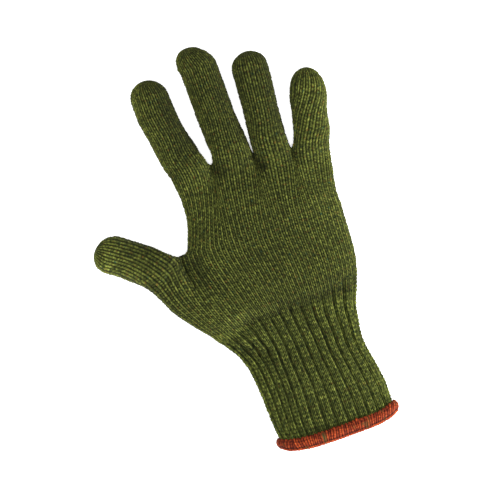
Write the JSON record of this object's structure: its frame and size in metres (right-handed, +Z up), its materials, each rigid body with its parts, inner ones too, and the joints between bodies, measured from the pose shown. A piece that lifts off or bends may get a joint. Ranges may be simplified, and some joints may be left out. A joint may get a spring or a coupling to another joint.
{
  "type": "knitted wool glove",
  "caption": "Hollow knitted wool work glove lying palm down, with separate fingers and thumb, a long ribbed cuff and an overlocked cuff edge.",
  "frame": {"origin": "on the resting plane, under the middle of the glove's bounding box", "axes": "+Y from the cuff to the fingertips, +X across the hand to the little finger's side, +Z up from the surface that the glove lies on"},
  "size_m": [0.168, 0.2556, 0.0247],
  "materials": {
    "knit_wool": "heathered olive wool in plain knit, matt and fuzzy",
    "rib_wool": "the same wool in vertical ribs with dark grooves",
    "edge_thread": "rust-orange overlock thread with a slight sheen"
  },
  "bodies": {
    "root": {"index_finger": "knit_wool", "middle_finger": "knit_wool", "ring_finger": "knit_wool", "little_finger": "knit_wool", "thumb": "knit_wool", "palm": "knit_wool", "cuff": "rib_wool", "cuff_edge": "edge_thread"}
  },
  "joints": []
}
